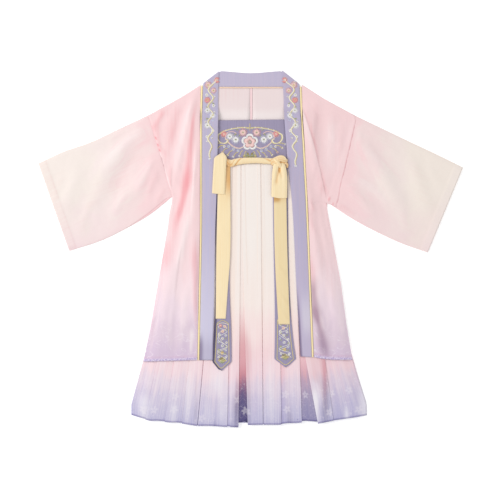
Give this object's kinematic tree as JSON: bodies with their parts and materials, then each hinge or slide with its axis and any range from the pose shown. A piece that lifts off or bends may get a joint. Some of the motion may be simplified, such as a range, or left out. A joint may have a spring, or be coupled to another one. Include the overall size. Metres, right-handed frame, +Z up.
{
  "type": "child's ruqun, an open robe over a chest-high pleated skirt, laid flat",
  "caption": "Open-fronted wide-sleeved robe laid flat over a pleated chest-high skirt with an embroidered band, a tie and hanging ribbons.",
  "frame": {"origin": "centre of the outline, on the surface the garment lies on", "axes": "+X across the garment from its left sleeve in the picture to its right one, +Y up the garment towards the collar, +Z up from the surface"},
  "size_m": [1.062, 0.891, 0.0209],
  "materials": {
    "robe_cloth": "sheer pink chiffon that fades to cream at the cuffs and lavender at the hem",
    "skirt_cloth": "matt pleated chiffon, cream, fading through pink to lavender at the hem",
    "collar_cloth": "doubled light lavender cloth with a soft sheen and vine embroidery",
    "band_cloth": "doubled greyish purple cloth with flower embroidery",
    "tie_cloth": "soft cream-gold satin ribbon",
    "piping": "bright yellow satin piping"
  },
  "bodies": {
    "root": {"robe_back_left": "robe_cloth", "robe_back_right": "robe_cloth", "robe_front_left": "robe_cloth", "robe_front_right": "robe_cloth", "sleeve_left": "robe_cloth", "sleeve_right": "robe_cloth", "collar_left": "collar_cloth", "collar_right": "collar_cloth", "collar_back": "collar_cloth", "piping_left": "piping", "piping_right": "piping", "piping_back": "piping", "chest_band_front": "band_cloth", "chest_band_back": "band_cloth", "ribbon_left": "band_cloth", "ribbon_right": "band_cloth", "skirt_front": "skirt_cloth", "skirt_back": "skirt_cloth", "tie_front": "tie_cloth", "tie_side_left": "tie_cloth", "tie_side_right": "tie_cloth", "tie_knot_left": "tie_cloth", "tie_knot_right": "tie_cloth", "tie_tail_left": "tie_cloth", "tie_tail_right": "tie_cloth", "tie_loop_left": "tie_cloth", "tie_loop_right": "tie_cloth"}
  },
  "joints": []
}
